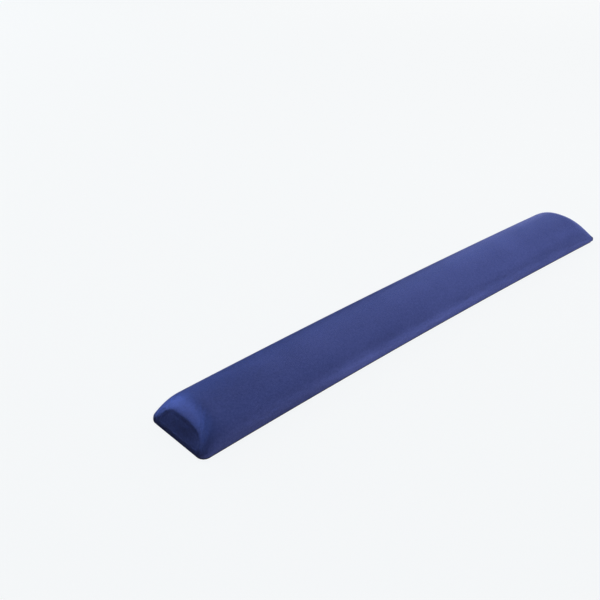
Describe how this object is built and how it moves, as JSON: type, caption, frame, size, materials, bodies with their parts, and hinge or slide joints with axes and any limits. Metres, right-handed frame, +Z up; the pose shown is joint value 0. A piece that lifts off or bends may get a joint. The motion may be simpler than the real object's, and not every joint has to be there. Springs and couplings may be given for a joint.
{
  "type": "wrist rest",
  "caption": "Long padded keyboard wrist rest: a D-section foam bar in stretch-knit cloth, with drawn-in ends, on a stiff board with a non-slip base.",
  "frame": {"origin": "centre of the bounding box at the underside of the non-slip base", "axes": "+X along the rest to the typist's right, +Y away from the typist towards the keyboard, +Z up"},
  "size_m": [0.47, 0.0634, 0.0244],
  "materials": {
    "stretch_knit": "matte",
    "memory_foam": "matte",
    "board_plastic": "satin",
    "non_slip_rubber": "matte",
    "adhesive_film": "gloss"
  },
  "bodies": {
    "root": {"cover_cloth": "stretch_knit", "foam_core": "memory_foam", "core_adhesive": "adhesive_film", "base_board": "board_plastic", "hem_adhesive": "adhesive_film", "base_adhesive": "adhesive_film", "non_slip_base": "non_slip_rubber"}
  },
  "joints": []
}
